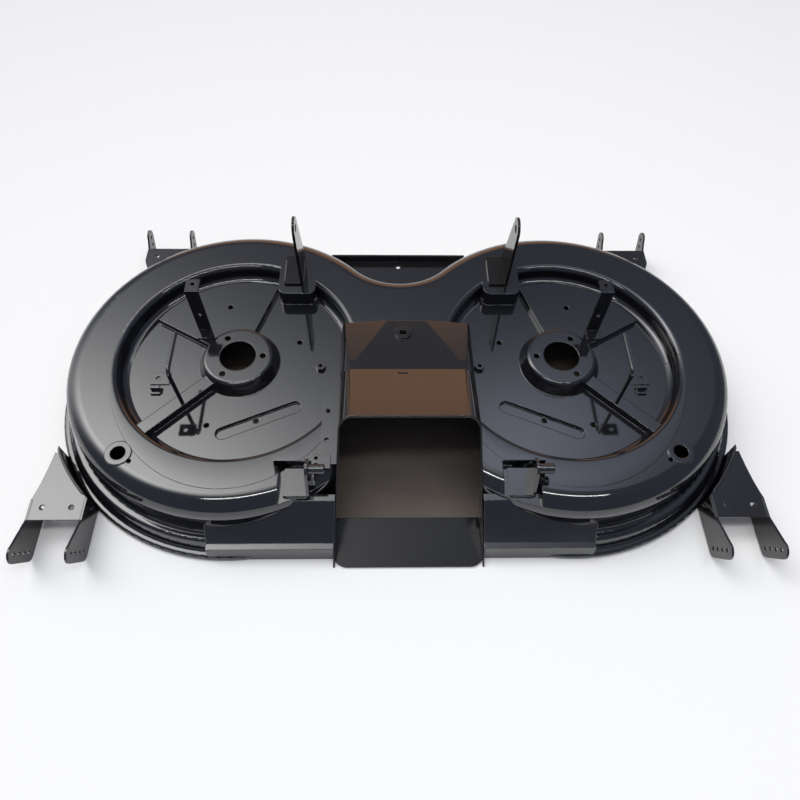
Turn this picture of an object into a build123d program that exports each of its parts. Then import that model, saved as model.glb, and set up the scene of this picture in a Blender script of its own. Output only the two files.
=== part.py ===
from build123d import *
import math
import os

os.makedirs("parts", exist_ok=True)

# Sheet and plate thicknesses, all sizes in mm
shell_t = 2.5
hood_t = 2.5
apron_t = 3.0
bracket_t = 3.0
hanger_t = 4.0
strip_t = 3.0
# Added to a cutting tool so that it runs past the face it opens
past = 20.0

# Spindles: two blade centres, midway between them is the frame's origin in plan,
# so far apart that the rims of the two lobes overlap by this much
lobe_overlap = 82.0
spindle_hole_r = 27.5
bolt_circle_r = 38.5
bolt_hole_r = 4.5
boss_r = 52.0
boss_base_r = 63.0
boss_z = 96.0
boss_fillet = 6.0

# Pressed wall section, radii from a spindle and heights above the rim
rim_r = 291.0
bead_z = 9.0
bead_w = 11.0
bead_run = 6.0
bead_fillet = 4.0
bead_corner = 3.0
ledge_w = 15.0
ledge_z = 30.0
ledge_fillet = 6.0
ledge_corner = 6.0
crest_z = 102.0
shoulder_fillet = 28.0

# Recess inside the crest: round at the front, drawn out towards the rear
crest_front_w = 81.0
crest_rear_w = 42.0
floor_z = 75.0
crest_fillet = 8.0
floor_fillet = 10.0

# Front dip between the lobes
dip_r = 100.0

# Pressed panels on a recess floor, angles from the left spindle
sector_from = 72.0
sector_to = 150.0
sector_in = 18.0
sector_z = 84.0
rib_angle = 224.5
rib_w = 20.0
rib_end_in = 11.0
rib_z = 88.0
pocket_x = 39.0
pocket_y = -102.0
pocket_len = 132.0
pocket_w = 20.0
pocket_angle = 23.5
pocket_depth = 5.0
floor_holes = [(-26.0, 106.0), (-37.0, -111.0), (34.0, -101.0), (90.0, 41.0)]
floor_hole_r = 4.0

# Wash ports near the rear corners, inwards from the upright wall of the left lobe
port_in_x = 115.0
port_in_y = 88.0
port_pad_r = 18.5
port_pad_z = 103.5
port_hole_r = 10.5
port_screw_x = 17.0
port_screw_y = -12.0
port_screw_r = 3.0

# The discharge hood and the hangers are centred on the tractor, not on the deck
tractor_x = 10.0
hood_foot_half = 108.0
hood_top_half = 97.0
hood_top_z = 160.0
hood_mouth_y = -145.0
hood_foot_out = 11.0
crease_y = -45.0
crease_z = 125.0
hood_front_y = 60.0
hood_front_z = 108.0
hood_front_half = 30.0
facet_back_y = -25.0
facet_drop = 5.0
hood_corner = 20.0
hood_boss_r = 13.0
hood_boss_h = 3.0
hood_boss_y = 30.0
hood_boss_x = -6.0
square_hole = 10.0
slot_len = 15.0
slot_w = 3.0
slot_y = -54.0

# Floor lip of the mouth
lip_t = 3.0
lip_len = 74.0
lip_corner = 20.0

# Rear aprons: the folded sheet that joins lobes, hood and rear bar
apron_run = 40.0
apron_top_z = 85.0
bar_w = 9.0
bar_z = 29.0
bar_splay = 4.0
bar_in = 2.0
apron_end_out = 25.0

# Front stiffener in the dip
stiff_half = 120.0
stiff_z = 27.0
stiff_front_in = 29.0
stiff_back_y = 150.0
stiff_lip_h = 15.0
stiff_hole_in = 16.0
stiff_hole_r = 4.0

# Wheel brackets: folded forks, distances of the ears from the spindle in x
rear_ear_far = 277.0
rear_ear_near = 198.0
rear_plate_in = 45.0
front_ear_far = 203.0
front_ear_near = 124.0
front_plate_in = 16.0
bracket_z = 42.0
ear_end_r = 13.0
ear_foot_in = 9.0
ear_foot_z = 15.0
ear_head_out = 6.0
ear_head_z = 51.0
ear_root = 30.0
ear_hole_r = 3.2
ear_holes = 4
plate_hole_r = 4.0
plate_hole_in = 19.0

# Front hangers and their seats
front_hanger_x = 168.0
seat_half = 30.0
seat_in = 55.0
seat_len = 84.0
seat_corner = 12.0
hanger_foot_w = 30.0
hanger_foot_in = 4.0
hanger_foot_len = 62.0
hanger_lean = 10.0
hanger_tip_z = 218.0
hanger_tip_r = 17.0
hanger_hole_r = 6.5

# Rear hangers, their flat seats and their pins
rear_hanger_x = 155.0
rear_seat_half = 25.0
rear_seat_z = 88.0
rear_seat_past = 6.0
rear_foot_w = 36.0
rear_foot_gap = 4.0
rear_foot_len = 42.0
rear_up_in = 26.0
rear_up_z = 122.0
rear_up_r = 14.0
pin_r = 7.0
pin_len = 22.0
pin_spigot_r = 5.0
pin_chamfer = 1.0

# Belt guides: bent rods beside the pulleys, and their tabs
guide_x = -75.0
guide_y = -78.0
guide_r = 3.0
guide_top_z = 165.0
guide_end_y = -10.0
guide_bend = 9.0
guide_tab = 26.0
guide_tab_half = 10.0
guide_tab_hole = 3.5

# Cover brackets: uprights on the raised panel
cover_x = -60.0
cover_y = 60.0
cover_half = 10.0
cover_foot = 20.0
cover_top_z = 178.0
cover_flange = 24.0
cover_hole_r = 3.3
cover_hole_z = 124.0

# Weld nuts on the recess floors beside the hood
nut_x = 126.0
nut_y = -8.0
nut_r = 8.0
nut_h = 6.0
nut_hole_r = 3.3

# Hook tabs on the recess floors, outside the belt guides
hook_x = -121.0
hook_y = -50.0
hook_w = 14.0
hook_len = 16.0
hook_h = 9.0

# Guard strip beside the hood and its tab
strip_x0 = -114.0
strip_x1 = -80.0
strip_y0 = -190.0
strip_y1 = -45.0
strip_hole_r = 3.5
tab_x0 = -125.0
tab_x1 = -99.0
tab_y0 = -198.0
tab_y1 = -176.0
tab_hole_r = 2.5

# Derived radii: the rims set the gap of the spindles, and each step of the wall is counted inwards
spindle_gap = 2 * rim_r - lobe_overlap
half = spindle_gap / 2
bead_r = rim_r - bead_w
ledge_r = bead_r - bead_run
wall_r = ledge_r - ledge_w
recess_r = wall_r - crest_front_w
recess_rear_r = wall_r - crest_rear_w
sector_r = recess_r - sector_in
rib_end_r = recess_rear_r - rib_end_in
port_x = port_in_x - wall_r
port_y = port_in_y - wall_r

# Derived places: what stands on the rim or the wall moves with it
apron_end_x = half + apron_end_out
bar_foot_y = bar_in - rim_r
bar_edge_y = bar_foot_y + bar_splay
apron_low_y = bar_edge_y + bar_w
apron_top_y = apron_low_y + apron_run
hood_foot_y = -rim_r - hood_foot_out
lip_back_y = hood_foot_y + lip_len
stiff_front_y = rim_r - stiff_front_in
stiff_hole_y = stiff_front_y - stiff_hole_in
rear_plate_y = rim_r - rear_plate_in
front_plate_y = rim_r - front_plate_in
ear_foot_y = rim_r - ear_foot_in
ear_head_y = rim_r + ear_head_out
seat_far_y = wall_r - seat_in
seat_near_y = seat_far_y - seat_len
hanger_foot_y1 = seat_far_y - hanger_foot_in
hanger_foot_y0 = hanger_foot_y1 - hanger_foot_len
hanger_tip_y = hanger_foot_y0 + hanger_lean
rear_foot_y0 = apron_top_y + rear_foot_gap
rear_foot_y1 = rear_foot_y0 + rear_foot_len
rear_seat_y = rear_foot_y1 + rear_seat_past
rear_up_y = rear_foot_y0 + rear_up_in

# Derived dip: a circle that touches the walls of both lobes
dip_reach = wall_r + dip_r
dip_y = math.sqrt(dip_reach**2 - half**2)


def skin_points(i):
    """Section from the rim up to the shoulder, every skin moved inwards by i."""
    return [
        (rim_r - i, -2 * i),
        (rim_r - i, bead_z - i),
        (bead_r - i, bead_z - i),
        (ledge_r - i, ledge_z - i),
        (wall_r - i, ledge_z - i),
        (wall_r - i, crest_z - i),
        (0, crest_z - i),
    ]


def skin_radii(i):
    """Outside corners lose i, inside corners gain it."""
    return [
        bead_fillet - i,
        bead_corner + i,
        ledge_fillet - i,
        ledge_corner + i,
        shoulder_fillet - i,
    ]


def on_lobe(s, x, y):
    """A left-lobe position as a frame position, mirrored when s is +1."""
    return (s * (half - x), y)


def hood_plane(s, i):
    """Sloped facet at one front corner of the hood, moved inwards by i."""
    slope = (crease_z - hood_front_z) / (hood_front_y - crease_y)
    back_z = hood_front_z + slope * (hood_front_y - facet_back_y)
    a = Vector(tractor_x + s * hood_front_half, hood_front_y, hood_front_z)
    b = Vector(tractor_x + s * (hood_top_half - hood_corner), facet_back_y, back_z)
    c = Vector(tractor_x + s * (hood_top_half - hood_corner), hood_front_y, hood_front_z - facet_drop)
    n = (b - a).cross(c - a).normalized()
    if n.Z < 0:
        n = n * -1
    return Plane(origin=a - n * i, z_dir=n)


def hood_sides(i):
    """Long wedge between the hood's two splayed sides, moved inwards by i."""
    k = (hood_foot_half - hood_top_half) / hood_top_z
    low = -2 * past
    high = hood_top_z + 3 * past
    with BuildPart() as wedge:
        with BuildSketch(Plane.XZ):
            Polygon(
                (tractor_x - hood_foot_half + i + k * low, low),
                (tractor_x + hood_foot_half - i - k * low, low),
                (tractor_x + hood_foot_half - i - k * high, high),
                (tractor_x - hood_foot_half + i + k * high, high),
                align=None,
            )
        extrude(amount=spindle_gap, both=True)
    return wedge.part


def hood_form(i, open_end):
    """Solid under the hood's top and between its sides, moved inwards by i."""
    rise = (hood_top_z - crease_z) / (crease_y - hood_mouth_y)
    ext_y = hood_mouth_y - 60
    ext_z = hood_top_z + rise * 60
    with BuildPart() as form:
        with BuildSketch(Plane.YZ):
            if open_end:
                Polygon(
                    (hood_front_y, -past - i),
                    (hood_front_y, hood_front_z),
                    (crease_y, crease_z),
                    (ext_y, ext_z),
                    (hood_foot_y - past, ext_z),
                    (hood_foot_y - past, -past - i),
                    align=None,
                )
                offset(amount=-i, kind=Kind.INTERSECTION, mode=Mode.REPLACE)
            else:
                Polygon(
                    (hood_front_y, 0),
                    (hood_front_y, hood_front_z),
                    (crease_y, crease_z),
                    (hood_mouth_y, hood_top_z),
                    (hood_foot_y, 0),
                    align=None,
                )
        extrude(amount=spindle_gap, both=True)
        add(hood_sides(i), mode=Mode.INTERSECT)
        tops = form.edges().filter_by(
            lambda e: abs(e.tangent_at(0.5).Y) > 0.8
            and (e @ 0.5).Z > crest_z
            and abs((e @ 0.5).X - tractor_x) > hood_front_half
        )
        tops = tops.filter_by(lambda e: (e @ 0.5).Y > hood_foot_y or open_end)
        tops = tops.filter_by(lambda e: (e @ 0.5).Z > hood_front_z - 2 * i - 1)
        fillet(tops, hood_corner - i)
        for s in (-1, 1):
            with BuildPart(mode=Mode.PRIVATE) as chip:
                with BuildSketch(Plane.XY):
                    with Locations((tractor_x, facet_back_y)):
                        Rectangle(spindle_gap, spindle_gap, align=(Align.CENTER, Align.MIN))
                extrude(amount=spindle_gap)
                split(bisect_by=hood_plane(s, i), keep=Keep.TOP)
            add(chip.part, mode=Mode.SUBTRACT)
    return form.part


def press_form(i):
    """Solid under the pressed skin of both lobes, moved inwards by i."""
    with BuildPart() as form:
        for s in (-1, 1):
            with BuildSketch(Plane(origin=(s * half, 0, 0), x_dir=(1, 0, 0), z_dir=(0, -1, 0))):
                with BuildLine():
                    FilletPolyline(*skin_points(i), radius=skin_radii(i))
                    Polyline((0, crest_z - i), (0, -2 * i), (rim_r - i, -2 * i))
                make_face()
            revolve(axis=Axis((s * half, 0, 0), (0, 0, 1)))
        with BuildPart(mode=Mode.PRIVATE) as web:
            with BuildSketch(Plane.XY.offset(-2 * i)):
                Polygon((-half, 0), (half, 0), (0, dip_y), align=None)
            extrude(amount=crest_z + i)
            with BuildSketch(Plane(origin=(0, dip_y, 0), x_dir=(1, 0, 0), z_dir=(0, -1, 0))):
                with BuildLine():
                    FilletPolyline(*[(dip_reach - r, z) for r, z in skin_points(i)], radius=skin_radii(i))
                    Polyline(
                        (dip_reach, crest_z - i),
                        (dip_reach, crest_z + past),
                        (0, crest_z + past),
                        (0, -2 * i),
                        (dip_reach - rim_r + i, -2 * i),
                    )
                make_face()
            revolve(axis=Axis((0, dip_y, 0), (0, 0, 1)), mode=Mode.SUBTRACT)
        add(web.part)
        # The drawn-out recess on each lobe
        for s in (-1, 1):
            with BuildSketch(Plane(origin=(s * half, 0, floor_z - i))):
                with BuildLine():
                    a = recess_r + i
                    b = recess_rear_r + i
                    ThreePointArc((a, 0), (0, a), (-a, 0))
                    EllipticalCenterArc((0, 0), a, b, start_angle=180, arc_size=180)
                make_face()
            extrude(amount=past + crest_z - floor_z, mode=Mode.SUBTRACT)
        rims = form.edges().filter_by(lambda e: abs((e @ 0.5).Z - crest_z + i) < 0.01)
        rims = rims.filter_by(lambda e: abs((e @ 0.2).Z - crest_z + i) < 0.01)
        rims = rims.filter_by(
            lambda e: min(math.hypot((e @ 0.3).X - s * half, (e @ 0.3).Y) for s in (-1, 1)) < recess_rear_r + i + 2
        )
        fillet(rims, crest_fillet - i)
        floors = form.edges().filter_by(lambda e: abs((e @ 0.5).Z - floor_z + i) < 0.01)
        floors = floors.filter_by(lambda e: abs((e @ 0.2).Z - floor_z + i) < 0.01)
        fillet(floors, floor_fillet + i)
        # Spindle boss, raised panel, rib and pocket on each recess floor
        for s in (-1, 1):
            with BuildSketch(Plane(origin=(s * half, 0, 0), x_dir=(1, 0, 0), z_dir=(0, -1, 0))):
                with BuildLine():
                    FilletPolyline(
                        (boss_base_r - i, floor_z - 2 * i - 2),
                        (boss_r - i, boss_z - i),
                        (0, boss_z - i),
                        radius=boss_fillet - i,
                    )
                    Polyline((0, boss_z - i), (0, floor_z - 2 * i - 2), (boss_base_r - i, floor_z - 2 * i - 2))
                make_face()
            revolve(axis=Axis((s * half, 0, 0), (0, 0, 1)))
            with BuildSketch(Plane.XY.offset(floor_z - i - 2)) as panel:
                with Locations((s * half, 0)):
                    Circle(sector_r)
                fan = []
                for deg in (sector_from, (sector_from + sector_to) / 2, sector_to):
                    fx = 3 * sector_r * math.cos(math.radians(deg))
                    fy = 3 * sector_r * math.sin(math.radians(deg))
                    fan.append(on_lobe(s, fx, fy))
                Polygon(on_lobe(s, 0, 0), *fan, align=None, mode=Mode.INTERSECT)
                if i > 0:
                    offset(amount=-i, kind=Kind.INTERSECTION, mode=Mode.REPLACE)
            extrude(amount=sector_z - floor_z + 2)
            rx = rib_end_r / 2 * math.cos(math.radians(rib_angle))
            ry = rib_end_r / 2 * math.sin(math.radians(rib_angle))
            turn = rib_angle if s < 0 else 180 - rib_angle
            with BuildSketch(Plane.XY.offset(floor_z - i - 2)):
                with Locations(Location((*on_lobe(s, rx, ry), 0), (0, 0, turn))):
                    Rectangle(rib_end_r, rib_w - 2 * i)
            extrude(amount=rib_z - floor_z + 2)
            turn = pocket_angle if s < 0 else 180 - pocket_angle
            with BuildSketch(Plane.XY.offset(floor_z - pocket_depth - i)):
                with Locations(Location((*on_lobe(s, pocket_x, pocket_y), 0), (0, 0, turn))):
                    SlotOverall(pocket_len + 2 * i, pocket_w + 2 * i)
            extrude(amount=pocket_depth + 1, mode=Mode.SUBTRACT)
            # Seats of the front and rear hangers
            with BuildSketch(Plane.XY.offset(floor_z - i - 2)):
                with Locations((s * front_hanger_x, (seat_near_y + seat_far_y) / 2)):
                    RectangleRounded(2 * (seat_half - i), seat_far_y - seat_near_y - 2 * i, seat_corner - i)
            extrude(amount=crest_z - floor_z + 2)
            with BuildSketch(Plane.XY.offset(rear_seat_z - i)):
                with Locations((tractor_x + s * rear_hanger_x, rear_seat_y + i)):
                    Rectangle(2 * (rear_seat_half + i), 100, align=(Align.CENTER, Align.MAX))
            extrude(amount=past + crest_z - rear_seat_z, mode=Mode.SUBTRACT)
            # Wash port pad
            with BuildSketch(Plane.XY.offset(crest_z - past)):
                with Locations(on_lobe(s, port_x, port_y)):
                    Circle(port_pad_r - i)
            extrude(amount=port_pad_z - crest_z + past - i)
    return form.part


outer = press_form(0)
inner = press_form(shell_t)
hood_outer = hood_form(0, False)

# Pressed twin-lobe shell with its holes
with BuildPart() as deck_shell:
    add(outer)
    add(inner, mode=Mode.SUBTRACT)
    add(hood_outer, mode=Mode.SUBTRACT)
    for s in (-1, 1):
        with BuildSketch(Plane.XY.offset(-past)):
            with Locations((s * half, 0)):
                Circle(spindle_hole_r)
            for n in range(3):
                bx = bolt_circle_r * math.cos(math.radians(120 * n))
                by = bolt_circle_r * math.sin(math.radians(120 * n))
                with Locations(on_lobe(s, bx, by)):
                    Circle(bolt_hole_r)
            for hx, hy in floor_holes:
                with Locations(on_lobe(s, hx, hy)):
                    Circle(floor_hole_r)
            with Locations(on_lobe(s, port_x, port_y)):
                Circle(port_hole_r)
            with Locations(on_lobe(s, port_x + port_screw_x, port_y + port_screw_y)):
                Circle(port_screw_r)
        extrude(amount=crest_z + 2 * past, mode=Mode.SUBTRACT)
deck_shell.part.label = "deck_shell"
export_step(deck_shell.part, "parts/deck_shell.step")

# Folded discharge hood with its round boss and square hole
with BuildPart() as discharge_hood:
    add(hood_outer)
    slope = (crease_z - hood_front_z) / (hood_front_y - crease_y)
    boss_at = hood_front_z + slope * (hood_front_y - hood_boss_y)
    top = Plane(origin=(tractor_x + hood_boss_x, hood_boss_y, boss_at), z_dir=(0, slope, 1))
    with BuildSketch(top.offset(-hood_t)):
        Circle(hood_boss_r)
    extrude(amount=hood_t + hood_boss_h)
    add(hood_form(hood_t, True), mode=Mode.SUBTRACT)
    add(inner, mode=Mode.SUBTRACT)
    with BuildSketch(top.offset(-past)):
        Rectangle(square_hole, square_hole)
    extrude(amount=2 * past, mode=Mode.SUBTRACT)
    with BuildSketch(Plane.XY.offset(crest_z)):
        with Locations((tractor_x - slot_len / 2, slot_y)):
            SlotOverall(slot_len, slot_w)
    extrude(amount=hood_top_z, mode=Mode.SUBTRACT)
discharge_hood.part.label = "discharge_hood"
export_step(discharge_hood.part, "parts/discharge_hood.step")

# Floor lip between the hood's sides
with BuildPart() as chute_lip:
    with BuildSketch():
        with Locations((tractor_x, (hood_foot_y + lip_back_y) / 2)):
            RectangleRounded(2 * hood_foot_half, lip_back_y - hood_foot_y, lip_corner)
        with Locations((tractor_x, lip_back_y)):
            Rectangle(2 * hood_foot_half, lip_corner * 1.5, align=(Align.CENTER, Align.MAX))
    extrude(amount=lip_t)
    add(hood_form(hood_t, True), mode=Mode.INTERSECT)
chute_lip.part.label = "chute_lip"
export_step(chute_lip.part, "parts/chute_lip.step")


def rear_apron(s):
    """One apron sheet, trimmed where it meets lobe and hood."""
    with BuildPart() as sheet:
        fold = [(apron_top_y, apron_top_z), (apron_low_y, bar_z), (bar_edge_y, bar_z), (bar_foot_y, 0)]
        with BuildSketch(Plane.YZ):
            Polygon((apron_top_y + past / 2, apron_top_z), *fold, (apron_top_y + past / 2, 0), align=None)
        extrude(amount=s * apron_end_x)
        with BuildSketch(Plane.YZ):
            Polygon(
                *fold,
                (bar_foot_y, -past),
                (apron_top_y + 2 * past, -past),
                (apron_top_y + 2 * past, apron_top_z),
                align=None,
            )
            offset(amount=-apron_t, kind=Kind.INTERSECTION, mode=Mode.REPLACE)
        extrude(amount=s * 2 * apron_end_x, both=True, mode=Mode.SUBTRACT)
        add(outer, mode=Mode.SUBTRACT)
        add(hood_sides(0), mode=Mode.SUBTRACT)
    return sheet.part


with BuildPart() as rear_apron_left:
    add(rear_apron(-1))
rear_apron_left.part.label = "rear_apron_left"
export_step(rear_apron_left.part, "parts/rear_apron_left.step")

with BuildPart() as rear_apron_right:
    add(rear_apron(1))
rear_apron_right.part.label = "rear_apron_right"
export_step(rear_apron_right.part, "parts/rear_apron_right.step")

# Stiffener across the front dip
with BuildPart() as front_stiffener:
    with BuildSketch(Plane.XY.offset(stiff_z)):
        with Locations((0, (stiff_back_y + stiff_front_y) / 2)):
            Rectangle(2 * stiff_half, stiff_front_y - stiff_back_y)
        with Locations((0, stiff_hole_y)):
            Circle(stiff_hole_r, mode=Mode.SUBTRACT)
    extrude(amount=bracket_t)
    with BuildSketch(Plane.XY.offset(stiff_z)):
        with Locations((0, stiff_front_y)):
            Rectangle(2 * stiff_half, bracket_t, align=(Align.CENTER, Align.MAX))
    extrude(amount=bracket_t + stiff_lip_h)
    add(outer, mode=Mode.SUBTRACT)
front_stiffener.part.label = "front_stiffener"
export_step(front_stiffener.part, "parts/front_stiffener.step")


def wheel_ear(ear_x, root_y, plate_y):
    """One upright ear of a fork, with its row of axle holes, cut to the rim's round."""
    with BuildPart() as ear:
        with BuildSketch(Plane.YZ.offset(ear_x)):
            with Locations((ear_foot_y, ear_foot_z), (ear_head_y, ear_head_z)):
                Circle(ear_end_r)
            make_hull()
            Polygon(
                (root_y, bracket_z + bracket_t),
                (plate_y, bracket_z + bracket_t),
                (ear_head_y - 4, ear_head_z + ear_end_r - 1),
                (ear_foot_y, ear_foot_z - ear_end_r),
                (root_y, ear_foot_z - ear_end_r),
                align=None,
            )
            for n in range(ear_holes):
                t = n / (ear_holes - 1)
                hy = ear_foot_y + t * (ear_head_y - ear_foot_y)
                hz = ear_foot_z + t * (ear_head_z - ear_foot_z)
                with Locations((hy, hz)):
                    Circle(ear_hole_r, mode=Mode.SUBTRACT)
        extrude(amount=bracket_t)
        with BuildSketch(Plane.XY.offset(-past)):
            Circle(rim_r)
        extrude(amount=2 * bracket_z + 2 * past, mode=Mode.SUBTRACT)
    return ear.part


def wheel_bracket(far, near, plate_y, ears):
    """A fork's plate and flange on the left lobe, its spindle at the origin, cut back to its ears."""
    arc_r = rim_r + bracket_t
    far_y = math.sqrt(max(arc_r**2 - far**2, 0))
    with BuildPart() as fork:
        with BuildSketch(Plane.XY.offset(bracket_z)):
            with BuildLine():
                apex_y = max(far_y, plate_y - 106)
                Polyline((-far + 15, apex_y), (-near, apex_y), (-near, plate_y), (-far, plate_y), (-far, plate_y - ear_root))
                Bezier((-far, plate_y - ear_root), (-far + 9, plate_y - ear_root - 25), (-far + 15, apex_y))
            make_face()
            Circle(rim_r, mode=Mode.SUBTRACT)
            for hx in (-far + plate_hole_in, -near - plate_hole_in):
                with Locations((hx, plate_y - plate_hole_in)):
                    Circle(plate_hole_r, mode=Mode.SUBTRACT)
        extrude(amount=bracket_t)
        with BuildSketch():
            Circle(arc_r)
            Circle(rim_r, mode=Mode.SUBTRACT)
            with Locations((-(far - 15 + near) / 2, 0)):
                Rectangle(far - 15 - near, 2 * arc_r, align=(Align.CENTER, Align.MIN), mode=Mode.INTERSECT)
        extrude(amount=bracket_z)
        with BuildSketch(Plane.XY.offset(-past)):
            Circle(rim_r)
        extrude(amount=2 * bracket_z + 2 * past, mode=Mode.SUBTRACT)
        for ear in ears:
            add(ear, mode=Mode.SUBTRACT)
    return fork.part


front_outer = wheel_ear(-front_ear_far, front_plate_y - ear_root, front_plate_y)
front_inner = wheel_ear(-front_ear_near - bracket_t, math.sqrt(rim_r**2 - front_ear_near**2) - 4, front_plate_y)
front_fork = wheel_bracket(front_ear_far, front_ear_near, front_plate_y, (front_outer, front_inner))
rear_outer = wheel_ear(-rear_ear_far, rear_plate_y - ear_root, rear_plate_y)
rear_inner = wheel_ear(-rear_ear_near - bracket_t, math.sqrt(rim_r**2 - rear_ear_near**2) - 4, rear_plate_y)
rear_fork = wheel_bracket(rear_ear_far, rear_ear_near, rear_plate_y, (rear_outer, rear_inner))

with BuildPart() as wheel_bracket_front_left:
    add(front_fork.moved(Location((-half, 0, 0))))
wheel_bracket_front_left.part.label = "wheel_bracket_front_left"
export_step(wheel_bracket_front_left.part, "parts/wheel_bracket_front_left.step")

with BuildPart() as wheel_ear_front_left_outer:
    add(front_outer.moved(Location((-half, 0, 0))))
wheel_ear_front_left_outer.part.label = "wheel_ear_front_left_outer"
export_step(wheel_ear_front_left_outer.part, "parts/wheel_ear_front_left_outer.step")

with BuildPart() as wheel_ear_front_left_inner:
    add(front_inner.moved(Location((-half, 0, 0))))
wheel_ear_front_left_inner.part.label = "wheel_ear_front_left_inner"
export_step(wheel_ear_front_left_inner.part, "parts/wheel_ear_front_left_inner.step")

with BuildPart() as wheel_bracket_front_right:
    add(front_fork.moved(Location((-half, 0, 0))).mirror(Plane.YZ))
wheel_bracket_front_right.part.label = "wheel_bracket_front_right"
export_step(wheel_bracket_front_right.part, "parts/wheel_bracket_front_right.step")

with BuildPart() as wheel_ear_front_right_outer:
    add(front_outer.moved(Location((-half, 0, 0))).mirror(Plane.YZ))
wheel_ear_front_right_outer.part.label = "wheel_ear_front_right_outer"
export_step(wheel_ear_front_right_outer.part, "parts/wheel_ear_front_right_outer.step")

with BuildPart() as wheel_ear_front_right_inner:
    add(front_inner.moved(Location((-half, 0, 0))).mirror(Plane.YZ))
wheel_ear_front_right_inner.part.label = "wheel_ear_front_right_inner"
export_step(wheel_ear_front_right_inner.part, "parts/wheel_ear_front_right_inner.step")

with BuildPart() as wheel_bracket_rear_left:
    add(rear_fork.moved(Location((-half, 0, 0))).mirror(Plane.XZ))
wheel_bracket_rear_left.part.label = "wheel_bracket_rear_left"
export_step(wheel_bracket_rear_left.part, "parts/wheel_bracket_rear_left.step")

with BuildPart() as wheel_ear_rear_left_outer:
    add(rear_outer.moved(Location((-half, 0, 0))).mirror(Plane.XZ))
wheel_ear_rear_left_outer.part.label = "wheel_ear_rear_left_outer"
export_step(wheel_ear_rear_left_outer.part, "parts/wheel_ear_rear_left_outer.step")

with BuildPart() as wheel_ear_rear_left_inner:
    add(rear_inner.moved(Location((-half, 0, 0))).mirror(Plane.XZ))
wheel_ear_rear_left_inner.part.label = "wheel_ear_rear_left_inner"
export_step(wheel_ear_rear_left_inner.part, "parts/wheel_ear_rear_left_inner.step")

with BuildPart() as wheel_bracket_rear_right:
    add(rear_fork.moved(Location((-half, 0, 0))).mirror(Plane.XZ).mirror(Plane.YZ))
wheel_bracket_rear_right.part.label = "wheel_bracket_rear_right"
export_step(wheel_bracket_rear_right.part, "parts/wheel_bracket_rear_right.step")

with BuildPart() as wheel_ear_rear_right_outer:
    add(rear_outer.moved(Location((-half, 0, 0))).mirror(Plane.XZ).mirror(Plane.YZ))
wheel_ear_rear_right_outer.part.label = "wheel_ear_rear_right_outer"
export_step(wheel_ear_rear_right_outer.part, "parts/wheel_ear_rear_right_outer.step")

with BuildPart() as wheel_ear_rear_right_inner:
    add(rear_inner.moved(Location((-half, 0, 0))).mirror(Plane.XZ).mirror(Plane.YZ))
wheel_ear_rear_right_inner.part.label = "wheel_ear_rear_right_inner"
export_step(wheel_ear_rear_right_inner.part, "parts/wheel_ear_rear_right_inner.step")


def front_hanger(x):
    """Upright lug with a foot on its left, standing on a crest seat at x."""
    with BuildPart() as lug:
        with BuildSketch(Plane.XY.offset(crest_z)):
            with Locations((x, (hanger_foot_y0 + hanger_foot_y1) / 2)):
                Rectangle(hanger_foot_w, hanger_foot_y1 - hanger_foot_y0, align=(Align.MAX, Align.CENTER))
        extrude(amount=hanger_t)
        with BuildSketch(Plane.YZ.offset(x - hanger_t)):
            with Locations((hanger_tip_y, hanger_tip_z)):
                Circle(hanger_tip_r)
            with Locations((hanger_foot_y0 + 2, crest_z + 2), (hanger_foot_y1 - 2, crest_z + 2)):
                Circle(2)
            make_hull()
            with Locations((hanger_tip_y, hanger_tip_z)):
                Circle(hanger_hole_r, mode=Mode.SUBTRACT)
        extrude(amount=hanger_t)
    return lug.part


with BuildPart() as front_hanger_left:
    add(front_hanger(tractor_x - front_hanger_x))
front_hanger_left.part.label = "front_hanger_left"
export_step(front_hanger_left.part, "parts/front_hanger_left.step")

with BuildPart() as front_hanger_right:
    add(front_hanger(tractor_x + front_hanger_x))
front_hanger_right.part.label = "front_hanger_right"
export_step(front_hanger_right.part, "parts/front_hanger_right.step")


def rear_hanger(x):
    """Foot on the rear seat with an upright on its right that holds the pin."""
    edge = x + rear_foot_w / 2
    with BuildPart() as lug:
        with BuildSketch(Plane.XY.offset(rear_seat_z)):
            with Locations((x, (rear_foot_y0 + rear_foot_y1) / 2)):
                Rectangle(rear_foot_w, rear_foot_y1 - rear_foot_y0)
        extrude(amount=hanger_t)
        with BuildSketch(Plane.YZ.offset(edge - hanger_t)):
            with Locations((rear_up_y, rear_up_z)):
                Circle(rear_up_r)
            with Locations((rear_foot_y0 + 2, rear_seat_z + 2), (rear_foot_y1 - 2, rear_seat_z + 2)):
                Circle(2)
            make_hull()
            with Locations((rear_up_y, rear_up_z)):
                Circle(pin_spigot_r, mode=Mode.SUBTRACT)
        extrude(amount=hanger_t)
    return lug.part


def rear_pin(x):
    """Round pin with a spigot in the upright, its free end to the right."""
    edge = x + rear_foot_w / 2
    with BuildPart() as pin:
        with BuildSketch(Plane.YZ.offset(edge)):
            with Locations((rear_up_y, rear_up_z)):
                Circle(pin_r)
        extrude(amount=pin_len)
        chamfer(pin.edges().group_by(Axis.X)[-1], pin_chamfer)
        with BuildSketch(Plane.YZ.offset(edge - hanger_t)):
            with Locations((rear_up_y, rear_up_z)):
                Circle(pin_spigot_r)
        extrude(amount=hanger_t)
    return pin.part


with BuildPart() as rear_hanger_left:
    add(rear_hanger(tractor_x - rear_hanger_x))
rear_hanger_left.part.label = "rear_hanger_left"
export_step(rear_hanger_left.part, "parts/rear_hanger_left.step")

with BuildPart() as rear_hanger_right:
    add(rear_hanger(tractor_x + rear_hanger_x))
rear_hanger_right.part.label = "rear_hanger_right"
export_step(rear_hanger_right.part, "parts/rear_hanger_right.step")

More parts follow.
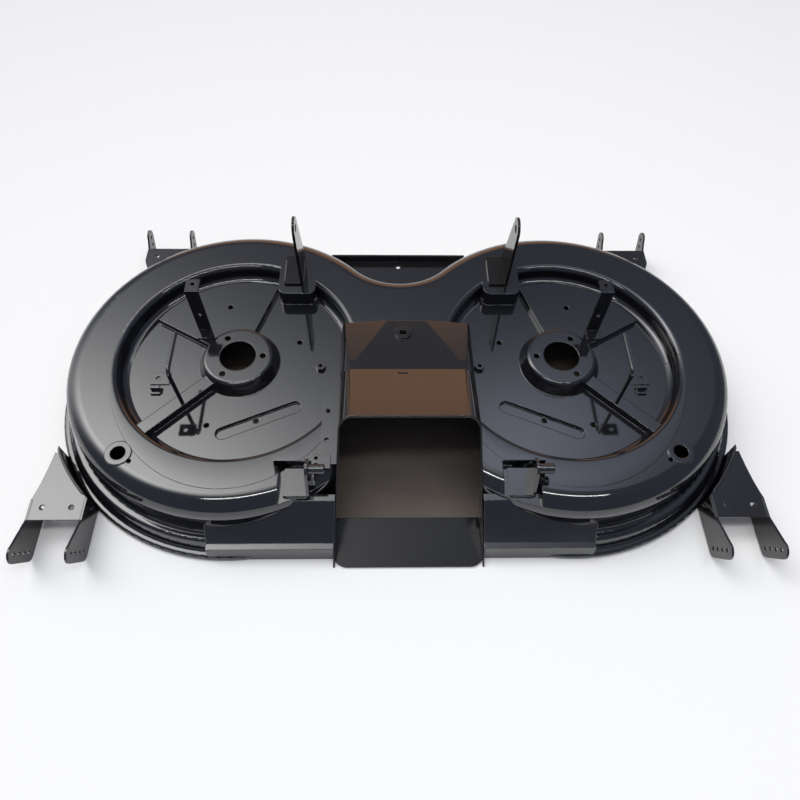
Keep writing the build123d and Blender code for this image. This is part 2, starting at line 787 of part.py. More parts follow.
with BuildPart() as rear_hanger_pin_left:
    add(rear_pin(tractor_x - rear_hanger_x))
rear_hanger_pin_left.part.label = "rear_hanger_pin_left"
export_step(rear_hanger_pin_left.part, "parts/rear_hanger_pin_left.step")

with BuildPart() as rear_hanger_pin_right:
    add(rear_pin(tractor_x + rear_hanger_x))
rear_hanger_pin_right.part.label = "rear_hanger_pin_right"
export_step(rear_hanger_pin_right.part, "parts/rear_hanger_pin_right.step")


def belt_guide(s):
    """Bent rod standing on a rib, its arm running forwards past the pulley."""
    gx, gy = on_lobe(s, guide_x, guide_y)
    with BuildPart() as rod:
        with BuildLine():
            FilletPolyline((gx, gy, rib_z), (gx, gy, guide_top_z), (gx, guide_end_y, guide_top_z), radius=guide_bend)
        with BuildSketch(Plane.XY.offset(rib_z)):
            with Locations((gx, gy)):
                Circle(guide_r)
        sweep()
    return rod.part


def guide_tab_plate(s):
    """Drilled tab that wraps the outer side of a guide's post."""
    gx, gy = on_lobe(s, guide_x, guide_y)
    with BuildPart() as tab:
        with BuildSketch(Plane.XY.offset(guide_top_z - 2 * guide_bend)):
            with Locations((gx, gy)):
                Rectangle(guide_tab, 2 * guide_tab_half, align=(Align.MAX if s < 0 else Align.MIN, Align.CENTER))
            with Locations((gx + s * guide_tab * 0.62, gy)):
                Circle(guide_tab_hole, mode=Mode.SUBTRACT)
            with Locations((gx, gy)):
                Circle(guide_r, mode=Mode.SUBTRACT)
        extrude(amount=strip_t)
    return tab.part


with BuildPart() as belt_guide_left:
    add(belt_guide(-1))
belt_guide_left.part.label = "belt_guide_left"
export_step(belt_guide_left.part, "parts/belt_guide_left.step")

with BuildPart() as belt_guide_right:
    add(belt_guide(1))
belt_guide_right.part.label = "belt_guide_right"
export_step(belt_guide_right.part, "parts/belt_guide_right.step")

with BuildPart() as guide_tab_left:
    add(guide_tab_plate(-1))
guide_tab_left.part.label = "guide_tab_left"
export_step(guide_tab_left.part, "parts/guide_tab_left.step")

with BuildPart() as guide_tab_right:
    add(guide_tab_plate(1))
guide_tab_right.part.label = "guide_tab_right"
export_step(guide_tab_right.part, "parts/guide_tab_right.step")


def cover_bracket(s):
    """Z-bent upright on the raised panel, its flange turned forwards at the top."""
    cx, cy = on_lobe(s, cover_x, cover_y)
    with BuildPart() as zed:
        with BuildSketch(Plane.YZ.offset(cx - cover_half)):
            Polygon(
                (cy - cover_foot, sector_z),
                (cy, sector_z),
                (cy, cover_top_z - strip_t),
                (cy + cover_flange - strip_t, cover_top_z - strip_t),
                (cy + cover_flange - strip_t, cover_top_z),
                (cy - strip_t, cover_top_z),
                (cy - strip_t, sector_z + strip_t),
                (cy - cover_foot, sector_z + strip_t),
                align=None,
            )
        extrude(amount=2 * cover_half)
        with BuildSketch(Plane.XY.offset(cover_top_z - strip_t - 1)):
            with Locations((cx, cy + cover_flange / 2)):
                Circle(cover_hole_r)
        extrude(amount=strip_t + 2, mode=Mode.SUBTRACT)
        with BuildSketch(Plane.XZ.offset(-cy - 1)):
            with Locations((cx, cover_hole_z)):
                Circle(cover_hole_r)
        extrude(amount=strip_t + 2, mode=Mode.SUBTRACT)
    return zed.part


with BuildPart() as cover_bracket_left:
    add(cover_bracket(-1))
cover_bracket_left.part.label = "cover_bracket_left"
export_step(cover_bracket_left.part, "parts/cover_bracket_left.step")

with BuildPart() as cover_bracket_right:
    add(cover_bracket(1))
cover_bracket_right.part.label = "cover_bracket_right"
export_step(cover_bracket_right.part, "parts/cover_bracket_right.step")

# Guard strip on the crest, against the hood's left side
with BuildPart() as guard_strip:
    with BuildSketch(Plane.XY.offset(crest_z)):
        Polygon((strip_x0, strip_y0), (strip_x1, strip_y0), (strip_x1, strip_y1), (strip_x0, strip_y1), align=None)
        with Locations((strip_x0 + 8, strip_y0 * 0.55), (strip_x0 + 8, strip_y0 * 0.8)):
            Circle(strip_hole_r, mode=Mode.SUBTRACT)
    extrude(amount=strip_t)
    add(hood_outer, mode=Mode.SUBTRACT)
guard_strip.part.label = "guard_strip"
export_step(guard_strip.part, "parts/guard_strip.step")

# Drilled tab on the rear end of the strip
with BuildPart() as strip_tab:
    with BuildSketch(Plane.XY.offset(crest_z + strip_t)):
        Polygon((tab_x0, tab_y0), (tab_x1, tab_y0), (tab_x1, tab_y1), (tab_x0, tab_y1), align=None)
        with Locations((tab_x0 + 6, tab_y0 + 6), (tab_x0 + 6, tab_y1 - 6)):
            Circle(tab_hole_r, mode=Mode.SUBTRACT)
    extrude(amount=strip_t)
strip_tab.part.label = "strip_tab"
export_step(strip_tab.part, "parts/strip_tab.step")


def weld_nut(s):
    """Hexagon nut welded to a recess floor."""
    with BuildPart() as nut:
        with BuildSketch(Plane.XY.offset(floor_z)):
            with Locations(on_lobe(s, nut_x, nut_y)):
                RegularPolygon(nut_r, 6)
                Circle(nut_hole_r, mode=Mode.SUBTRACT)
        extrude(amount=nut_h)
    return nut.part


with BuildPart() as weld_nut_left:
    add(weld_nut(-1))
weld_nut_left.part.label = "weld_nut_left"
export_step(weld_nut_left.part, "parts/weld_nut_left.step")

with BuildPart() as weld_nut_right:
    add(weld_nut(1))
weld_nut_right.part.label = "weld_nut_right"
export_step(weld_nut_right.part, "parts/weld_nut_right.step")


def hook_tab(s):
    """Small bent hook on a recess floor: a foot, a riser and a lip."""
    hx, hy = on_lobe(s, hook_x, hook_y)
    with BuildPart() as hook:
        with BuildSketch(Plane.YZ.offset(hx - hook_w / 2)):
            Polygon(
                (hy - hook_len / 2, floor_z),
                (hy + strip_t / 2, floor_z),
                (hy + strip_t / 2, floor_z + hook_h - strip_t),
                (hy + hook_len / 2, floor_z + hook_h - strip_t),
                (hy + hook_len / 2, floor_z + hook_h),
                (hy - strip_t / 2, floor_z + hook_h),
                (hy - strip_t / 2, floor_z + strip_t),
                (hy - hook_len / 2, floor_z + strip_t),
                align=None,
            )
        extrude(amount=hook_w)
    return hook.part


with BuildPart() as hook_tab_left:
    add(hook_tab(-1))
hook_tab_left.part.label = "hook_tab_left"
export_step(hook_tab_left.part, "parts/hook_tab_left.step")

with BuildPart() as hook_tab_right:
    add(hook_tab(1))
hook_tab_right.part.label = "hook_tab_right"
export_step(hook_tab_right.part, "parts/hook_tab_right.step")
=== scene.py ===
import math
import bmesh
import bpy
import numpy as np
from mathutils import Matrix, Vector


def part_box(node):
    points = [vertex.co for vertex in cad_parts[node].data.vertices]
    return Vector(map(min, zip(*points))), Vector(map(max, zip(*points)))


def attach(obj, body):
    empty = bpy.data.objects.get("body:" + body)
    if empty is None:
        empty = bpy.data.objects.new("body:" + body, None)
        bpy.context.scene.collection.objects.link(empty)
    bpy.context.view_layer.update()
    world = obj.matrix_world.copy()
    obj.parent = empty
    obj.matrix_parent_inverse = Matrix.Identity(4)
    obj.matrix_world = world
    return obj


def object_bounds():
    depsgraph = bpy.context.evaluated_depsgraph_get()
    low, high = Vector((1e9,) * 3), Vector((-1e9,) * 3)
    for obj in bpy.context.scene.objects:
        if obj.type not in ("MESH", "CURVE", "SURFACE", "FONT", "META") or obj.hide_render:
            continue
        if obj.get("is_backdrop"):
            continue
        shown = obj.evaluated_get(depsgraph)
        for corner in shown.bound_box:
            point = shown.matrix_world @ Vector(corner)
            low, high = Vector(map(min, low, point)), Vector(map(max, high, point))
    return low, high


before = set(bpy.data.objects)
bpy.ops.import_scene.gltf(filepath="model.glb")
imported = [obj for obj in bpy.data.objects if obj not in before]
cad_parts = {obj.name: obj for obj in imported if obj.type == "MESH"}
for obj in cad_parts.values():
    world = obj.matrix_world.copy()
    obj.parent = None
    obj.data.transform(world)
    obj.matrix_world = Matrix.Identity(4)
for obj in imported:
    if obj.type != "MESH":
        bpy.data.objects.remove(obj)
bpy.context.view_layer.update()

# Deck shell: one deep pressing of mild steel with two blade lobes, dipped and
# then sprayed in near-black gloss enamel that is baked hard. The enamel flows
# over the pressed edges, and a little dust lies on what faces up.
enamel = bpy.data.node_groups.new("baked_enamel", "ShaderNodeTree")
enamel.interface.new_socket("Paint", in_out="INPUT", socket_type="NodeSocketColor")
enamel.interface.new_socket("Polish", in_out="INPUT", socket_type="NodeSocketFloat")
enamel.interface.new_socket("Edge Radius", in_out="INPUT", socket_type="NodeSocketFloat")
enamel.interface.new_socket("Dust", in_out="INPUT", socket_type="NodeSocketFloat")
enamel.interface.new_socket("Colour", in_out="OUTPUT", socket_type="NodeSocketColor")
enamel.interface.new_socket("Roughness", in_out="OUTPUT", socket_type="NodeSocketFloat")
enamel.interface.new_socket("Normal", in_out="OUTPUT", socket_type="NodeSocketVector")
group_in = enamel.nodes.new("NodeGroupInput")
group_out = enamel.nodes.new("NodeGroupOutput")
place = enamel.nodes.new("ShaderNodeTexCoord")

# Broad clouds where the spray went on thicker or thinner change the polish.
clouds = enamel.nodes.new("ShaderNodeTexNoise")
clouds.inputs["Scale"].default_value = 9.0
clouds.inputs["Detail"].default_value = 4.0
enamel.links.new(place.outputs["Object"], clouds.inputs["Vector"])
haze = enamel.nodes.new("ShaderNodeMapRange")
haze.inputs["From Min"].default_value = 0.35
haze.inputs["From Max"].default_value = 0.75
haze.inputs["To Min"].default_value = 0.0
haze.inputs["To Max"].default_value = 0.05
enamel.links.new(clouds.outputs["Fac"], haze.inputs["Value"])
polish = enamel.nodes.new("ShaderNodeMath")
polish.operation = "ADD"
enamel.links.new(group_in.outputs["Polish"], polish.inputs[0])
enamel.links.new(haze.outputs["Result"], polish.inputs[1])
enamel.links.new(polish.outputs[0], group_out.inputs["Roughness"])

# Dust: fine specks that settle only on faces looking up.
specks = enamel.nodes.new("ShaderNodeTexNoise")
specks.inputs["Scale"].default_value = 620.0
specks.inputs["Detail"].default_value = 2.0
enamel.links.new(place.outputs["Object"], specks.inputs["Vector"])
thin = enamel.nodes.new("ShaderNodeMapRange")
thin.inputs["From Min"].default_value = 0.55
thin.inputs["From Max"].default_value = 0.80
enamel.links.new(specks.outputs["Fac"], thin.inputs["Value"])
face = enamel.nodes.new("ShaderNodeNewGeometry")
tilt = enamel.nodes.new("ShaderNodeSeparateXYZ")
enamel.links.new(face.outputs["Normal"], tilt.inputs[0])
level = enamel.nodes.new("ShaderNodeMapRange")
level.inputs["From Min"].default_value = 0.7
level.inputs["From Max"].default_value = 1.0
enamel.links.new(tilt.outputs["Z"], level.inputs["Value"])
settled = enamel.nodes.new("ShaderNodeMath")
settled.operation = "MULTIPLY"
enamel.links.new(thin.outputs["Result"], settled.inputs[0])
enamel.links.new(level.outputs["Result"], settled.inputs[1])
amount = enamel.nodes.new("ShaderNodeMath")
amount.operation = "MULTIPLY"
enamel.links.new(settled.outputs[0], amount.inputs[0])
enamel.links.new(group_in.outputs["Dust"], amount.inputs[1])
dust_colour = (0.20, 0.19, 0.17, 1)
dusty = enamel.nodes.new("ShaderNodeMix")
dusty.data_type = "RGBA"
dusty.inputs["B"].default_value = dust_colour
enamel.links.new(amount.outputs[0], dusty.inputs["Factor"])
enamel.links.new(group_in.outputs["Paint"], dusty.inputs["A"])
enamel.links.new(dusty.outputs["Result"], group_out.inputs["Colour"])

# Orange peel: a very shallow ripple in the paint, which also rounds off the edges.
ripple = enamel.nodes.new("ShaderNodeTexNoise")
ripple.inputs["Scale"].default_value = 160.0
ripple.inputs["Detail"].default_value = 1.0
enamel.links.new(place.outputs["Object"], ripple.inputs["Vector"])
rounded = enamel.nodes.new("ShaderNodeBevel")
rounded.samples = 6
enamel.links.new(group_in.outputs["Edge Radius"], rounded.inputs["Radius"])
peel = enamel.nodes.new("ShaderNodeBump")
peel.inputs["Strength"].default_value = 0.05
peel.inputs["Distance"].default_value = 0.0002
enamel.links.new(ripple.outputs["Fac"], peel.inputs["Height"])
enamel.links.new(rounded.outputs["Normal"], peel.inputs["Normal"])
enamel.links.new(peel.outputs["Normal"], group_out.inputs["Normal"])


def enamelled(name, colour, polish, edge_radius, dust, gloss=1.78):
    """A gloss enamel that takes its colour, roughness and normal from the shared group;
    gloss is the refractive index, which sets how strongly it mirrors the room."""
    material = bpy.data.materials.new(name)
    material.use_nodes = True
    tree = material.node_tree
    shader = tree.nodes["Principled BSDF"]
    shader.inputs["IOR"].default_value = gloss
    coat = tree.nodes.new("ShaderNodeGroup")
    coat.node_tree = enamel
    coat.inputs["Paint"].default_value = (*colour, 1)
    coat.inputs["Polish"].default_value = polish
    coat.inputs["Edge Radius"].default_value = edge_radius
    coat.inputs["Dust"].default_value = dust
    tree.links.new(coat.outputs["Colour"], shader.inputs["Base Color"])
    tree.links.new(coat.outputs["Roughness"], shader.inputs["Roughness"])
    tree.links.new(coat.outputs["Normal"], shader.inputs["Normal"])
    return material


def paint(material, *names):
    """Put one material on the named CAD nodes."""
    for name in names:
        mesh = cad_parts[name].data
        mesh.materials.clear()
        mesh.materials.append(material)


shell_paint = enamelled("shell_enamel", (0.0075, 0.0078, 0.0095), 0.05, 0.0022, 0.05)
paint(shell_paint, "deck_shell")

# Recess ledge: at the rear of each lobe the crest runs on, level, up to the round edge
# of the recess. It is part of the same pressing, rounded over at its edge and rounded
# again at its foot, where it meets the recess floor.


def steel_skin(name, rings, material, capped=False, crease=None):
    """A closed steel piece from an array of rings of points: four-sided faces join each ring
    to the next, and capped puts a flat face on both ends. Points that fall together are
    merged, and the piece is shaded smooth except where it bends by more than crease."""
    rows, count = rings.shape[:2]
    i, j = np.meshgrid(np.arange(rows - 1), np.arange(count), indexing="ij")
    k = (j + 1) % count
    corners = [i * count + j, i * count + k, (i + 1) * count + k, (i + 1) * count + j]
    faces = np.stack(corners, axis=-1).reshape(-1, 4).tolist()
    if capped:
        faces += [list(range(count)), list(range((rows - 1) * count, rows * count))]
    mesh = bpy.data.meshes.new(name)
    mesh.from_pydata(rings.reshape(-1, 3).tolist(), [], faces)
    shape = bmesh.new()
    shape.from_mesh(mesh)
    bmesh.ops.remove_doubles(shape, verts=shape.verts, dist=1e-7)
    bmesh.ops.recalc_face_normals(shape, faces=shape.faces)
    shape.to_mesh(mesh)
    shape.free()
    mesh.shade_smooth()
    if crease is not None:
        mesh.set_sharp_from_angle(angle=crease)
    mesh.materials.append(material)
    piece = bpy.data.objects.new(name, mesh)
    bpy.context.scene.collection.objects.link(piece)
    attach(piece, "root")


# The section is a radius and a height, carried round the spindle by angle. It reaches back
# to the ellipse where the crest begins, stops at the hanger's seat and at the hood's side.
spindle_x = 0.250
recess_radius, recess_rear = 0.178, 0.217
crest_height, recess_floor = 0.1021, 0.0750
edge_round, foot_round = 0.008, 0.010
crest_lap, floor_sink, floor_lift = 0.0005, 0.0005, 0.0001
hanger_seat_y = -0.1835
ledge_crease = math.radians(35)
turn = np.radians(np.linspace(180.0, 335.0, 200))
across, back_way = np.cos(turn), np.sin(turn)
round_over = np.linspace(0.0, np.pi / 2, 9)
lip_r = recess_radius + edge_round - edge_round * np.sin(round_over)
lip_z = crest_height - edge_round + edge_round * np.cos(round_over)
foot_r = recess_radius - foot_round * (1.0 - np.cos(round_over))
foot_z = recess_floor + foot_round * (1.0 - np.sin(round_over)) + floor_lift
inner_r = np.concatenate([lip_r, foot_r, [recess_radius - foot_round]])
inner_z = np.concatenate([lip_z, foot_z, [recess_floor - floor_sink]])
outer_z = [recess_floor - floor_sink, crest_height]
section_z = np.tile(np.concatenate([outer_z, inner_z]), (len(turn), 1))
for side, sign, seat_x, hood_x in (
    ("left", -1, (0.078, 0.132), 0.1565),
    ("right", 1, (0.058, 0.112), 0.1365),
):
    drawn = 1.0 / np.sqrt((across / recess_radius) ** 2 + (back_way / recess_rear) ** 2)
    reach = drawn + edge_round + crest_lap
    at_seat = (reach * across > seat_x[0]) & (reach * across < seat_x[1])
    at_seat &= reach * back_way < hanger_seat_y
    reach = np.where(at_seat, hanger_seat_y / back_way, reach)
    section_r = np.column_stack([reach, reach, np.tile(inner_r, (len(turn), 1))])
    ledge_x = sign * (spindle_x - np.minimum(section_r * across[:, None], hood_x))
    ledge_y = section_r * back_way[:, None]
    rings = np.stack([ledge_x, ledge_y, section_z], axis=-1)
    steel_skin(f"recess_ledge_{side}", rings, shell_paint, capped=True, crease=ledge_crease)

# Discharge hood: folded sheet steel welded over the gap between the lobes,
# sprayed with the shell; its paint is tinted a shade browner all over, a painted reflection
# of brown surroundings.
hood_reflection_paint = enamelled("hood_enamel_painted_reflection", (0.0090, 0.0078, 0.0072), 0.06, 0.0016, 0.03)
paint(hood_reflection_paint, "discharge_hood")

# Chute lip: the sheet floor at the end of the mouth, which cut grass scuffs,
# so it is the dullest of the large sheets.
lip_paint = enamelled("lip_enamel", (0.0070, 0.0072, 0.0086), 0.16, 0.0010, 0.03, gloss=1.36)
paint(lip_paint, "chute_lip")

# Rear aprons: folded sheet with a rolled bar along the lower edge,
# spot welded to the rim on both sides of the mouth.
apron_paint = enamelled("apron_enamel", (0.0080, 0.0085, 0.0105), 0.07, 0.0016, 0.03)
paint(apron_paint, "rear_apron_left", "rear_apron_right")

# Front stiffener: thin steel plate with an upturned edge, welded across the dip
# between the lobes at the front.
stiffener_paint = enamelled("stiffener_enamel", (0.0085, 0.0082, 0.0090), 0.09, 0.0010, 0.05)
paint(stiffener_paint, "front_stiffener")

# Wheel forks: plate and flange welded to the rim, with two upright ears
# each that are drilled in a slanted row for the gauge wheel's axle.
fork_paint = enamelled("fork_enamel", (0.0085, 0.0085, 0.0095), 0.09, 0.0012, 0.05)
for end in ("front", "rear"):
    for side in ("left", "right"):
        paint(
            fork_paint,
            f"wheel_bracket_{end}_{side}",
            f"wheel_ear_{end}_{side}_outer",
            f"wheel_ear_{end}_{side}_inner",
        )

# Fork welds: one bead along the round of the rim on top of each fork plate,
# laid by hand before painting, so the enamel covers its ripples.
weld_paint = enamelled("weld_enamel", (0.0085, 0.0085, 0.0095), 0.14, 0.0004, 0.02)


def weld_bead(name, path, width, ripple):
    """A weld bead: a round section carried along the path, swelling once per ripple
    by a rectified sine, and shrinking to a point at both ends so that it is closed."""
    steps_per_ripple, points_round, end_sharpness = 6, 12, 24
    path = np.asarray(path, dtype=float)
    along = np.concatenate([[0.0], np.cumsum(np.linalg.norm(np.diff(path, axis=0), axis=1))])
    length = along[-1]
    s = np.linspace(0.0, length, int(steps_per_ripple * length / ripple) + 2)
    centre = np.stack([np.interp(s, along, path[:, k]) for k in range(3)], axis=1)
    ahead = np.gradient(centre, axis=0)
    ahead /= np.linalg.norm(ahead, axis=1, keepdims=True)
    beside = np.cross(ahead, (0.0, 0.0, 1.0))
    beside /= np.linalg.norm(beside, axis=1, keepdims=True)
    above = np.cross(beside, ahead)
    swell = 0.82 + 0.18 * np.abs(np.sin(np.pi * s / ripple))
    from_middle = np.abs(2.0 * s / length - 1.0)
    fade = np.sqrt(np.clip(1.0 - from_middle**end_sharpness, 0.0, 1.0))
    radius = 0.5 * width * swell * fade
    t = np.linspace(0.0, 2.0 * np.pi, points_round, endpoint=False)[None, :, None]
    ring = beside[:, None] * np.cos(t) + above[:, None] * np.sin(t)
    steel_skin(name, centre[:, None] + radius[:, None, None] * ring, weld_paint)


rim_radius = 0.291
fork_bead, fork_ripple = 0.0050, 0.0045
for end, sign_y, near, far in (("rear", -1, 0.204, 0.258), ("front", 1, 0.130, 0.184)):
    turn = np.linspace(math.asin(near / rim_radius), math.asin(far / rim_radius), 40)
    for side, sign_x in (("left", -1), ("right", 1)):
        bead_x = sign_x * (spindle_x + rim_radius * np.sin(turn))
        bead_y = sign_y * rim_radius * np.cos(turn)
        bead_z = np.full_like(turn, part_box(f"wheel_bracket_{end}_{side}")[1][2])
        run = np.stack([bead_x, bead_y, bead_z], axis=1)
        weld_bead(f"fork_weld_{end}_{side}", run, fork_bead, fork_ripple)

# Front hangers: two tall lugs of thicker plate on the crest, bored at the tip
# for the front lift links, and welded down along the long sides of the foot.
# The lugs' paint is tinted brown: a painted reflection of brown surroundings on their sides.
lug_paint = enamelled("lug_enamel", (0.0095, 0.0080, 0.0072), 0.10, 0.0010, 0.03, gloss=1.5)
paint(lug_paint, "front_hanger_left", "front_hanger_right")
foot_near, foot_far = 0.143, 0.195
lug_bead, lug_ripple = 0.0055, 0.0045
for side in ("left", "right"):
    low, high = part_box(f"front_hanger_{side}")
    for edge, x in (("a", low[0]), ("b", high[0])):
        run = [(x, foot_near, low[2]), (x, foot_far, low[2])]
        weld_bead(f"front_hanger_weld_{side}_{edge}", run, lug_bead, lug_ripple)

# Rear hangers: low lugs of bent plate welded on beside the hood, each with a round
# steel pin that the rear lift link turns on and rubs smooth.
rear_lug_paint = enamelled("rear_lug_enamel", (0.0085, 0.0085, 0.0095), 0.10, 0.0010, 0.04)
paint(rear_lug_paint, "rear_hanger_left", "rear_hanger_right")
pin_paint = enamelled("pin_enamel", (0.0110, 0.0110, 0.0125), 0.14, 0.0008, 0.02)
paint(pin_paint, "rear_hanger_pin_left", "rear_hanger_pin_right")
rear_bead, rear_ripple, bead_inset = 0.0050, 0.0040, 0.003
for side in ("left", "right"):
    low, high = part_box(f"rear_hanger_{side}")
    run = [(low[0] + bead_inset, low[1], low[2]), (high[0] - bead_inset, low[1], low[2])]
    weld_bead(f"rear_hanger_weld_{side}", run, rear_bead, rear_ripple)

# Belt guides: bent steel rods that keep the belt on its pulley, each with a drilled tab
# welded to the foot of its post.
guide_paint = enamelled("guide_enamel", (0.0075, 0.0075, 0.0088), 0.09, 0.0008, 0.02)
paint(guide_paint, "belt_guide_left", "belt_guide_right")
guide_tab_paint = enamelled("guide_tab_enamel", (0.0090, 0.0090, 0.0105), 0.09, 0.0008, 0.04)
paint(guide_tab_paint, "guide_tab_left", "guide_tab_right")

# Cover brackets: steel strips bent like a Z that are welded on the raised panels
# and carry the belt cover's screws.
cover_paint = enamelled("cover_bracket_enamel", (0.0080, 0.0080, 0.0095), 0.09, 0.0010, 0.03)
paint(cover_paint, "cover_bracket_left", "cover_bracket_right")

# Guard strip: thin flat steel bar welded beside the hood, with a small drilled tab
# at its rear end.
strip_paint = enamelled("strip_enamel", (0.0085, 0.0085, 0.0098), 0.08, 0.0008, 0.04)
paint(strip_paint, "guard_strip", "strip_tab")

# Small fixings: steel weld nuts and hooked tabs on the lobe floors,
# welded on before painting and coated with the rest.
fixing_paint = enamelled("fixing_enamel", (0.0088, 0.0088, 0.0100), 0.11, 0.0006, 0.03)
paint(fixing_paint, "weld_nut_left", "weld_nut_right", "hook_tab_left", "hook_tab_right")

# Floor: a plain pale sheet that shows the object's soft shadow.
# It is only the stage.
floor_size, floor_drop = 12, 0.0008
bpy.ops.mesh.primitive_plane_add(size=floor_size, location=(0, 0, -floor_drop))
floor = bpy.context.object
floor.name = "floor"


def clouded(name, scale, dark, pale, roughness):
    """A dull stage material whose colour drifts between two shades in soft clouds."""
    material = bpy.data.materials.new(name)
    material.use_nodes = True
    tree = material.node_tree
    shader = tree.nodes["Principled BSDF"]
    shader.inputs["Roughness"].default_value = roughness
    drift = tree.nodes.new("ShaderNodeTexNoise")
    drift.inputs["Scale"].default_value = scale
    shades = tree.nodes.new("ShaderNodeMix")
    shades.data_type = "RGBA"
    shades.inputs["A"].default_value = (*dark, 1)
    shades.inputs["B"].default_value = (*pale, 1)
    tree.links.new(drift.outputs["Fac"], shades.inputs["Factor"])
    tree.links.new(shades.outputs["Result"], shader.inputs["Base Color"])
    return material


floor_paint = clouded("pale_floor", 3.0, (0.900, 0.893, 0.872), (0.925, 0.918, 0.898), 0.75)
floor_shader = floor_paint.node_tree.nodes["Principled BSDF"]
floor_shader.inputs["Specular IOR Level"].default_value = 0.2
floor.data.materials.append(floor_paint)
floor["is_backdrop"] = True

# Ground mat: a dark brown mat that lies under the deck, inside its rim,
# and is seen only through the mouth and the spindle holes. It gives the dark ground there
# and is also painted shade, darker than the lit floor under the deck would be. It is stage
# too.
mat_radius, mat_drop = 0.265, 0.0004
half_turn = np.linspace(-np.pi / 2, np.pi / 2, 48)
end_x, end_y = spindle_x + mat_radius * np.cos(half_turn), mat_radius * np.sin(half_turn)
right_end = np.stack([end_x, end_y], axis=1)
outline = np.concatenate([right_end, -right_end])
mat_points = np.column_stack([outline, np.full(len(outline), -mat_drop)])
mat_mesh = bpy.data.meshes.new("shaded_ground_mat")
mat_mesh.from_pydata(mat_points.tolist(), [], [list(range(len(mat_points)))])
shaded_ground_mat = bpy.data.objects.new("shaded_ground_mat", mat_mesh)
bpy.context.scene.collection.objects.link(shaded_ground_mat)
# Its dark brown colour is the ground seen through the openings and, partly, painted shade
# under the deck.
ground_shade_paint = clouded("brown_mat_painted_shade", 24.0, (0.085, 0.068, 0.054), (0.120, 0.098, 0.080), 0.6)
shaded_ground_mat.data.materials.append(ground_shade_paint)
shaded_ground_mat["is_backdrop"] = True

# Studio surround: dim blue all round, one broad soft window high on the left, a small
# cool one on the right, and a warm brown wall low ahead that the hood's slope reflects.
# Each window's strength is a bell curve in the direction's x and y.
world = bpy.data.worlds.new("studio")
bpy.context.scene.world = world
world.use_nodes = True
sky = world.node_tree
gaze = sky.nodes.new("ShaderNodeTexCoord")
axes = sky.nodes.new("ShaderNodeSeparateXYZ")
sky.links.new(gaze.outputs["Generated"], axes.inputs[0])
room_colour = (0.17, 0.19, 0.25, 1)
wall_colour = (1.00, 0.56, 0.33, 1)
light = None
for centre, spread, colour in (
    ((-0.44, 0.33), (0.37, 0.21), (5.6, 5.6, 5.5, 1)),
    ((0.20, 0.45), (0.17, 0.11), (0.92, 0.98, 1.22, 1)),
):
    squares = []
    for axis, middle, width in zip("XY", centre, spread):
        offset = sky.nodes.new("ShaderNodeMath")
        offset.operation = "MULTIPLY_ADD"
        offset.inputs[1].default_value = 1.0 / width
        offset.inputs[2].default_value = -middle / width
        sky.links.new(axes.outputs[axis], offset.inputs[0])
        square = sky.nodes.new("ShaderNodeMath")
        square.operation = "MULTIPLY"
        sky.links.new(offset.outputs[0], square.inputs[0])
        sky.links.new(offset.outputs[0], square.inputs[1])
        squares.append(square.outputs[0])
    total = sky.nodes.new("ShaderNodeMath")
    total.operation = "ADD"
    sky.links.new(squares[0], total.inputs[0])
    sky.links.new(squares[1], total.inputs[1])
    minus = sky.nodes.new("ShaderNodeMath")
    minus.operation = "MULTIPLY"
    minus.inputs[1].default_value = -1.0
    sky.links.new(total.outputs[0], minus.inputs[0])
    bell = sky.nodes.new("ShaderNodeMath")
    bell.operation = "EXPONENT"
    sky.links.new(minus.outputs[0], bell.inputs[0])
    window = sky.nodes.new("ShaderNodeMix")
    window.data_type = "RGBA"
    window.blend_type = "ADD"
    window.inputs["A"].default_value = room_colour
    window.inputs["B"].default_value = colour
    sky.links.new(bell.outputs[0], window.inputs["Factor"])
    if light is not None:
        sky.links.new(light, window.inputs["A"])
    light = window.outputs["Result"]
low_ahead = sky.nodes.new("ShaderNodeMapRange")
low_ahead.interpolation_type = "SMOOTHSTEP"
low_ahead.inputs["From Min"].default_value = 0.82
low_ahead.inputs["From Max"].default_value = 0.95
sky.links.new(axes.outputs["Y"], low_ahead.inputs["Value"])
wall = sky.nodes.new("ShaderNodeMix")
wall.data_type = "RGBA"
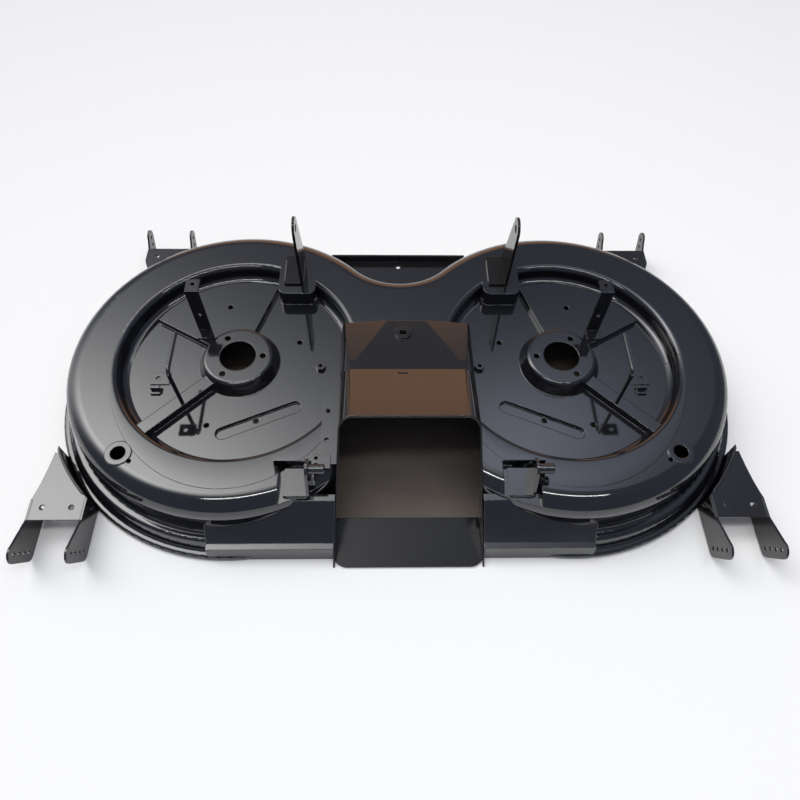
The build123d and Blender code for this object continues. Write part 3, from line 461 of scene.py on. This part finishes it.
wall.inputs["B"].default_value = wall_colour
sky.links.new(low_ahead.outputs["Result"], wall.inputs["Factor"])
sky.links.new(light, wall.inputs["A"])
sky.links.new(wall.outputs["Result"], sky.nodes["Background"].inputs["Color"])

# Lamps: a wide soft panel above that lights the floor evenly, and a thin strip
# above the viewer that draws the bright lines on the pressed edges.
lamp_aim = Vector((0, 0, 0.05))
for name, spot, size, watts, in_gloss in (
    ("overhead", (-0.2, 0.2, 3.2), (4.5, 4.5), 38.0, False),
    ("strip", (0.1, -0.55, 2.6), (2.4, 0.10), 18.0, True),
):
    panel = bpy.data.lights.new(name, "AREA")
    panel.shape = "RECTANGLE"
    panel.size, panel.size_y = size
    panel.energy = watts
    lamp = bpy.data.objects.new(name, panel)
    lamp.location = spot
    lamp.rotation_euler = (lamp_aim - Vector(spot)).to_track_quat("-Z", "Y").to_euler()
    lamp.visible_glossy = in_gloss
    bpy.context.scene.collection.objects.link(lamp)

# Camera: standing at the discharge mouth and looking down at the deck,
# with a slight turn to the right and a slight roll.
pitch, yaw, roll = math.radians(58.1), math.radians(2.4), math.radians(2.0)
focal_pixels, picture_pixels, sensor_width = 660, 800, 36.0
stand = (-0.0233, -0.5962, 0.9252)
ahead_level = math.cos(pitch)
forward = Vector((math.sin(yaw) * ahead_level, math.cos(yaw) * ahead_level, -math.sin(pitch)))
level_right = Vector((math.cos(yaw), -math.sin(yaw), 0))
level_up = level_right.cross(forward)
right = math.cos(roll) * level_right + math.sin(roll) * level_up
upward = -math.sin(roll) * level_right + math.cos(roll) * level_up
lens = bpy.data.cameras.new("camera")
lens.lens = sensor_width * focal_pixels / picture_pixels
lens.clip_start = 0.05
camera = bpy.data.objects.new("camera", lens)
facing = Matrix((right, upward, -forward)).transposed().to_4x4()
camera.matrix_world = Matrix.Translation(stand) @ facing
bpy.context.scene.collection.objects.link(camera)
bpy.context.scene.camera = camera
bpy.context.scene.view_settings.view_transform = "Standard"

# Sizes: the box round the dressed model.
low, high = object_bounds()
